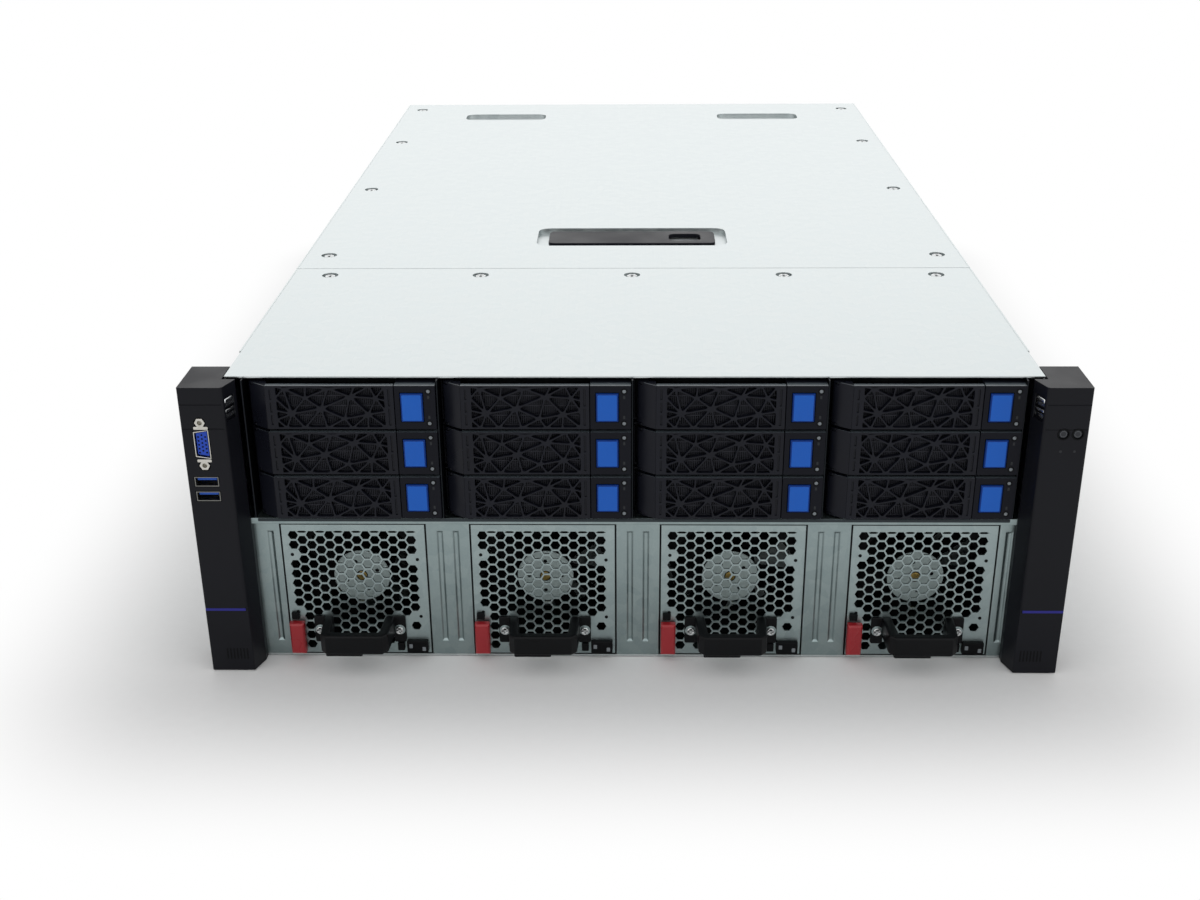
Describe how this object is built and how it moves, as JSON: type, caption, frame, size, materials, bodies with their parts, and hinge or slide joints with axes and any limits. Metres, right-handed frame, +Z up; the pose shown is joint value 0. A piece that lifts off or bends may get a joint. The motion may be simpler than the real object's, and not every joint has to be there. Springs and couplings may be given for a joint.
{
  "type": "rack server",
  "caption": "Black-fronted rack server with rows of hinged, grilled disk carriers over hot-swap fan modules with hexagon-perforated plates, between two rack ears",
  "frame": {"origin": "centre of the underside of the whole server", "axes": "+Z up, +Y from the front to the rear, +X to the right seen from the front"},
  "size_m": [0.4826, 0.8, 0.175],
  "materials": {
    "black_plastic": "fine moulded texture",
    "blue_plastic": "satin moulded",
    "red_plastic": "satin moulded",
    "galvanised_steel": "zinc coated sheet",
    "plated_shell": "plated",
    "board_laminate": "solder mask",
    "aluminium_fins": "bare"
  },
  "bodies": {
    "chassis": {"chassis_tub": "galvanised_steel", "top_cover": "galvanised_steel", "left_ear": "black_plastic", "right_ear": "black_plastic", "front_ports": "plated_shell", "front_cage": "galvanised_steel", "circuit_boards": "board_laminate", "heatsinks_and_memory": "aluminium_fins"},
    "drive_tray_11": {"drive_tray_11": "black_plastic"},
    "tray_lever_11": {"tray_lever_11": "black_plastic"},
    "tray_button_11": {"tray_button_11": "blue_plastic"},
    "drive_tray_12": {"drive_tray_12": "black_plastic"},
    "tray_lever_12": {"tray_lever_12": "black_plastic"},
    "tray_button_12": {"tray_button_12": "blue_plastic"},
    "drive_tray_13": {"drive_tray_13": "black_plastic"},
    "tray_lever_13": {"tray_lever_13": "black_plastic"},
    "tray_button_13": {"tray_button_13": "blue_plastic"},
    "drive_tray_14": {"drive_tray_14": "black_plastic"},
    "tray_lever_14": {"tray_lever_14": "black_plastic"},
    "tray_button_14": {"tray_button_14": "blue_plastic"},
    "drive_tray_21": {"drive_tray_21": "black_plastic"},
    "tray_lever_21": {"tray_lever_21": "black_plastic"},
    "tray_button_21": {"tray_button_21": "blue_plastic"},
    "drive_tray_22": {"drive_tray_22": "black_plastic"},
    "tray_lever_22": {"tray_lever_22": "black_plastic"},
    "tray_button_22": {"tray_button_22": "blue_plastic"},
    "drive_tray_23": {"drive_tray_23": "black_plastic"},
    "tray_lever_23": {"tray_lever_23": "black_plastic"},
    "tray_button_23": {"tray_button_23": "blue_plastic"},
    "drive_tray_24": {"drive_tray_24": "black_plastic"},
    "tray_lever_24": {"tray_lever_24": "black_plastic"},
    "tray_button_24": {"tray_button_24": "blue_plastic"},
    "drive_tray_31": {"drive_tray_31": "black_plastic"},
    "tray_lever_31": {"tray_lever_31": "black_plastic"},
    "tray_button_31": {"tray_button_31": "blue_plastic"},
    "drive_tray_32": {"drive_tray_32": "black_plastic"},
    "tray_lever_32": {"tray_lever_32": "black_plastic"},
    "tray_button_32": {"tray_button_32": "blue_plastic"},
    "drive_tray_33": {"drive_tray_33": "black_plastic"},
    "tray_lever_33": {"tray_lever_33": "black_plastic"},
    "tray_button_33": {"tray_button_33": "blue_plastic"},
    "drive_tray_34": {"drive_tray_34": "black_plastic"},
    "tray_lever_34": {"tray_lever_34": "black_plastic"},
    "tray_button_34": {"tray_button_34": "blue_plastic"},
    "fan_module_1": {"fan_module_1": "galvanised_steel"},
    "fan_rotor_1": {"fan_rotor_1": "black_plastic"},
    "fan_latch_1": {"fan_latch_1": "red_plastic"},
    "fan_module_2": {"fan_module_2": "galvanised_steel"},
    "fan_rotor_2": {"fan_rotor_2": "black_plastic"},
    "fan_latch_2": {"fan_latch_2": "red_plastic"},
    "fan_module_3": {"fan_module_3": "galvanised_steel"},
    "fan_rotor_3": {"fan_rotor_3": "black_plastic"},
    "fan_latch_3": {"fan_latch_3": "red_plastic"},
    "fan_module_4": {"fan_module_4": "galvanised_steel"},
    "fan_rotor_4": {"fan_rotor_4": "black_plastic"},
    "fan_latch_4": {"fan_latch_4": "red_plastic"},
    "power_button": {"power_button": "black_plastic"},
    "locator_button": {"locator_button": "black_plastic"},
    "power_supply_1": {"power_supply_1": "galvanised_steel"},
    "power_supply_2": {"power_supply_2": "galvanised_steel"}
  },
  "joints": [
    {"name": "tray_slide_11", "type": "slide", "parent": "chassis", "child": "drive_tray_11", "axis": [0, -1, 0], "range_m": [0, 0.165]},
    {"name": "lever_hinge_11", "type": "hinge", "parent": "drive_tray_11", "child": "tray_lever_11", "pos_m": [-0.2041, -0.3734, 0.1593], "axis": [0, 0, -1], "range_deg": [0, 55]},
    {"name": "button_press_11", "type": "slide", "parent": "drive_tray_11", "child": "tray_button_11", "axis": [0, 1, 0], "range_m": [0, 0.002], "stiffness_N_per_m": 1500},
    {"name": "tray_slide_12", "type": "slide", "parent": "chassis", "child": "drive_tray_12", "axis": [0, -1, 0], "range_m": [0, 0.165]},
    {"name": "lever_hinge_12", "type": "hinge", "parent": "drive_tray_12", "child": "tray_lever_12", "pos_m": [-0.0991, -0.3734, 0.1593], "axis": [0, 0, -1], "range_deg": [0, 55]},
    {"name": "button_press_12", "type": "slide", "parent": "drive_tray_12", "child": "tray_button_12", "axis": [0, 1, 0], "range_m": [0, 0.002], "stiffness_N_per_m": 1500},
    {"name": "tray_slide_13", "type": "slide", "parent": "chassis", "child": "drive_tray_13", "axis": [0, -1, 0], "range_m": [0, 0.165]},
    {"name": "lever_hinge_13", "type": "hinge", "parent": "drive_tray_13", "child": "tray_lever_13", "pos_m": [0.0059, -0.3734, 0.1593], "axis": [0, 0, -1], "range_deg": [0, 55]},
    {"name": "button_press_13", "type": "slide", "parent": "drive_tray_13", "child": "tray_button_13", "axis": [0, 1, 0], "range_m": [0, 0.002], "stiffness_N_per_m": 1500},
    {"name": "tray_slide_14", "type": "slide", "parent": "chassis", "child": "drive_tray_14", "axis": [0, -1, 0], "range_m": [0, 0.165]},
    {"name": "lever_hinge_14", "type": "hinge", "parent": "drive_tray_14", "child": "tray_lever_14", "pos_m": [0.1109, -0.3734, 0.1593], "axis": [0, 0, -1], "range_deg": [0, 55]},
    {"name": "button_press_14", "type": "slide", "parent": "drive_tray_14", "child": "tray_button_14", "axis": [0, 1, 0], "range_m": [0, 0.002], "stiffness_N_per_m": 1500},
    {"name": "tray_slide_21", "type": "slide", "parent": "chassis", "child": "drive_tray_21", "axis": [0, -1, 0], "range_m": [0, 0.165]},
    {"name": "lever_hinge_21", "type": "hinge", "parent": "drive_tray_21", "child": "tray_lever_21", "pos_m": [-0.2041, -0.3734, 0.1323], "axis": [0, 0, -1], "range_deg": [0, 55]},
    {"name": "button_press_21", "type": "slide", "parent": "drive_tray_21", "child": "tray_button_21", "axis": [0, 1, 0], "range_m": [0, 0.002], "stiffness_N_per_m": 1500},
    {"name": "tray_slide_22", "type": "slide", "parent": "chassis", "child": "drive_tray_22", "axis": [0, -1, 0], "range_m": [0, 0.165]},
    {"name": "lever_hinge_22", "type": "hinge", "parent": "drive_tray_22", "child": "tray_lever_22", "pos_m": [-0.0991, -0.3734, 0.1323], "axis": [0, 0, -1], "range_deg": [0, 55]},
    {"name": "button_press_22", "type": "slide", "parent": "drive_tray_22", "child": "tray_button_22", "axis": [0, 1, 0], "range_m": [0, 0.002], "stiffness_N_per_m": 1500},
    {"name": "tray_slide_23", "type": "slide", "parent": "chassis", "child": "drive_tray_23", "axis": [0, -1, 0], "range_m": [0, 0.165]},
    {"name": "lever_hinge_23", "type": "hinge", "parent": "drive_tray_23", "child": "tray_lever_23", "pos_m": [0.0059, -0.3734, 0.1323], "axis": [0, 0, -1], "range_deg": [0, 55]},
    {"name": "button_press_23", "type": "slide", "parent": "drive_tray_23", "child": "tray_button_23", "axis": [0, 1, 0], "range_m": [0, 0.002], "stiffness_N_per_m": 1500},
    {"name": "tray_slide_24", "type": "slide", "parent": "chassis", "child": "drive_tray_24", "axis": [0, -1, 0], "range_m": [0, 0.165]},
    {"name": "lever_hinge_24", "type": "hinge", "parent": "drive_tray_24", "child": "tray_lever_24", "pos_m": [0.1109, -0.3734, 0.1323], "axis": [0, 0, -1], "range_deg": [0, 55]},
    {"name": "button_press_24", "type": "slide", "parent": "drive_tray_24", "child": "tray_button_24", "axis": [0, 1, 0], "range_m": [0, 0.002], "stiffness_N_per_m": 1500},
    {"name": "tray_slide_31", "type": "slide", "parent": "chassis", "child": "drive_tray_31", "axis": [0, -1, 0], "range_m": [0, 0.165]},
    {"name": "lever_hinge_31", "type": "hinge", "parent": "drive_tray_31", "child": "tray_lever_31", "pos_m": [-0.2041, -0.3734, 0.1053], "axis": [0, 0, -1], "range_deg": [0, 55]},
    {"name": "button_press_31", "type": "slide", "parent": "drive_tray_31", "child": "tray_button_31", "axis": [0, 1, 0], "range_m": [0, 0.002], "stiffness_N_per_m": 1500},
    {"name": "tray_slide_32", "type": "slide", "parent": "chassis", "child": "drive_tray_32", "axis": [0, -1, 0], "range_m": [0, 0.165]},
    {"name": "lever_hinge_32", "type": "hinge", "parent": "drive_tray_32", "child": "tray_lever_32", "pos_m": [-0.0991, -0.3734, 0.1053], "axis": [0, 0, -1], "range_deg": [0, 55]},
    {"name": "button_press_32", "type": "slide", "parent": "drive_tray_32", "child": "tray_button_32", "axis": [0, 1, 0], "range_m": [0, 0.002], "stiffness_N_per_m": 1500},
    {"name": "tray_slide_33", "type": "slide", "parent": "chassis", "child": "drive_tray_33", "axis": [0, -1, 0], "range_m": [0, 0.165]},
    {"name": "lever_hinge_33", "type": "hinge", "parent": "drive_tray_33", "child": "tray_lever_33", "pos_m": [0.0059, -0.3734, 0.1053], "axis": [0, 0, -1], "range_deg": [0, 55]},
    {"name": "button_press_33", "type": "slide", "parent": "drive_tray_33", "child": "tray_button_33", "axis": [0, 1, 0], "range_m": [0, 0.002], "stiffness_N_per_m": 1500},
    {"name": "tray_slide_34", "type": "slide", "parent": "chassis", "child": "drive_tray_34", "axis": [0, -1, 0], "range_m": [0, 0.165]},
    {"name": "lever_hinge_34", "type": "hinge", "parent": "drive_tray_34", "child": "tray_lever_34", "pos_m": [0.1109, -0.3734, 0.1053], "axis": [0, 0, -1], "range_deg": [0, 55]},
    {"name": "button_press_34", "type": "slide", "parent": "drive_tray_34", "child": "tray_button_34", "axis": [0, 1, 0], "range_m": [0, 0.002], "stiffness_N_per_m": 1500},
    {"name": "fan_slide_1", "type": "slide", "parent": "chassis", "child": "fan_module_1", "axis": [0, -1, 0], "range_m": [0, 0.115]},
    {"name": "fan_spin_1", "type": "hinge", "parent": "fan_module_1", "child": "fan_rotor_1", "pos_m": [-0.15735, -0.359, 0.04425], "axis": [0, 1, 0], "continuous": true},
    {"name": "latch_squeeze_1", "type": "hinge", "parent": "fan_module_1", "child": "fan_latch_1", "pos_m": [-0.1934, -0.3695, 0.014], "axis": [0, 0, 1], "range_deg": [0, 8], "stiffness_Nm_per_rad": 0.4},
    {"name": "fan_slide_2", "type": "slide", "parent": "chassis", "child": "fan_module_2", "axis": [0, -1, 0], "range_m": [0, 0.115]},
    {"name": "fan_spin_2", "type": "hinge", "parent": "fan_module_2", "child": "fan_rotor_2", "pos_m": [-0.05025, -0.359, 0.04425], "axis": [0, 1, 0], "continuous": true},
    {"name": "latch_squeeze_2", "type": "hinge", "parent": "fan_module_2", "child": "fan_latch_2", "pos_m": [-0.0863, -0.3695, 0.014], "axis": [0, 0, 1], "range_deg": [0, 8], "stiffness_Nm_per_rad": 0.4},
    {"name": "fan_slide_3", "type": "slide", "parent": "chassis", "child": "fan_module_3", "axis": [0, -1, 0], "range_m": [0, 0.115]},
    {"name": "fan_spin_3", "type": "hinge", "parent": "fan_module_3", "child": "fan_rotor_3", "pos_m": [0.05685, -0.359, 0.04425], "axis": [0, 1, 0], "continuous": true},
    {"name": "latch_squeeze_3", "type": "hinge", "parent": "fan_module_3", "child": "fan_latch_3", "pos_m": [0.0208, -0.3695, 0.014], "axis": [0, 0, 1], "range_deg": [0, 8], "stiffness_Nm_per_rad": 0.4},
    {"name": "fan_slide_4", "type": "slide", "parent": "chassis", "child": "fan_module_4", "axis": [0, -1, 0], "range_m": [0, 0.115]},
    {"name": "fan_spin_4", "type": "hinge", "parent": "fan_module_4", "child": "fan_rotor_4", "pos_m": [0.16395, -0.359, 0.04425], "axis": [0, 1, 0], "continuous": true},
    {"name": "latch_squeeze_4", "type": "hinge", "parent": "fan_module_4", "child": "fan_latch_4", "pos_m": [0.1279, -0.3695, 0.014], "axis": [0, 0, 1], "range_deg": [0, 8], "stiffness_Nm_per_rad": 0.4},
    {"name": "power_button_press", "type": "slide", "parent": "chassis", "child": "power_button", "axis": [0, 1, 0], "range_m": [0, 0.0012], "stiffness_N_per_m": 2000},
    {"name": "locator_button_press", "type": "slide", "parent": "chassis", "child": "locator_button", "axis": [0, 1, 0], "range_m": [0, 0.0012], "stiffness_N_per_m": 2000},
    {"name": "supply_slide_1", "type": "slide", "parent": "chassis", "child": "power_supply_1", "axis": [0, 1, 0], "range_m": [0, 0.19]},
    {"name": "supply_slide_2", "type": "slide", "parent": "chassis", "child": "power_supply_2", "axis": [0, 1, 0], "range_m": [0, 0.19]}
  ]
}
